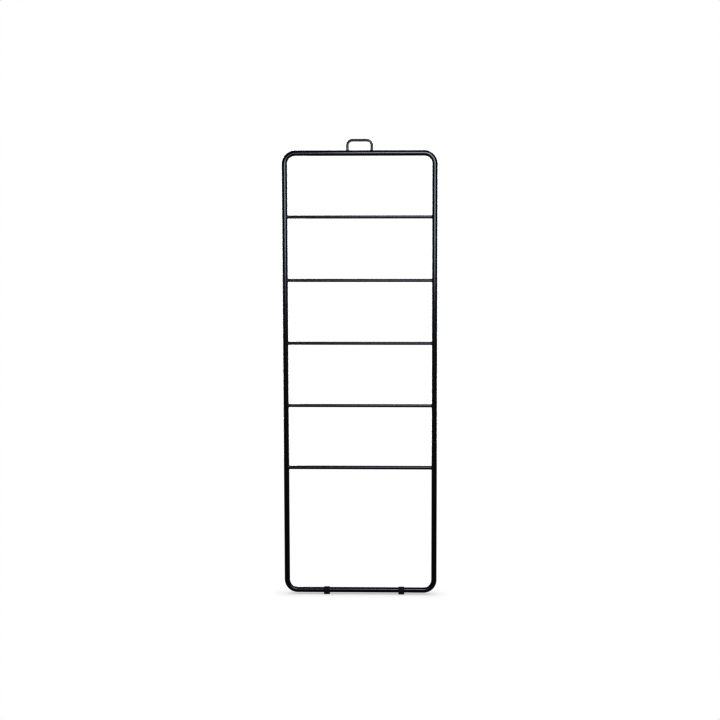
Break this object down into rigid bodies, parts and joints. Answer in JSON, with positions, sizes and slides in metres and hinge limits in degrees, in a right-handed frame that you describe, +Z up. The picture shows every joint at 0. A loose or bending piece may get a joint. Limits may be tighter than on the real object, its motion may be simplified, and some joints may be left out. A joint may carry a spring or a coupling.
{
  "type": "towel ladder",
  "caption": "Black tubular steel towel ladder with rounded corners, welded rungs, a hanging loop on the top rail and rubber feet that slide on the bottom rail.",
  "frame": {"origin": "on the floor under the middle of the frame, at the level of the feet's soles", "axes": "+X to the right of a person who faces the wall, +Y towards the wall, +Z up the ladder"},
  "size_m": [0.55, 0.023, 1.638],
  "materials": {
    "black_powder_coat": "satin, fine texture",
    "black_rubber": "matt",
    "bare_steel": "drawn tube, uncoated"
  },
  "bodies": {
    "ladder_frame": {"upper_frame_tube": "black_powder_coat", "lower_frame_tube": "black_powder_coat", "left_joint_sleeve": "bare_steel", "right_joint_sleeve": "bare_steel", "left_butt_weld": "black_powder_coat", "right_butt_weld": "black_powder_coat", "rung_1": "black_powder_coat", "rung_2": "black_powder_coat", "rung_3": "black_powder_coat", "rung_4": "black_powder_coat", "rung_5": "black_powder_coat", "rung_1_welds": "black_powder_coat", "rung_2_welds": "black_powder_coat", "rung_3_welds": "black_powder_coat", "rung_4_welds": "black_powder_coat", "rung_5_welds": "black_powder_coat", "hanging_loop": "black_powder_coat", "hanging_loop_welds": "black_powder_coat"},
    "foot_left": {"left_foot": "black_rubber"},
    "foot_right": {"right_foot": "black_rubber"}
  },
  "joints": [
    {"name": "left_foot_slide", "type": "slide", "parent": "ladder_frame", "child": "foot_left", "axis": [1, 0, 0], "range_m": [-0.096, 0.111]},
    {"name": "right_foot_slide", "type": "slide", "parent": "ladder_frame", "child": "foot_right", "axis": [1, 0, 0], "range_m": [-0.137, 0.07]}
  ]
}
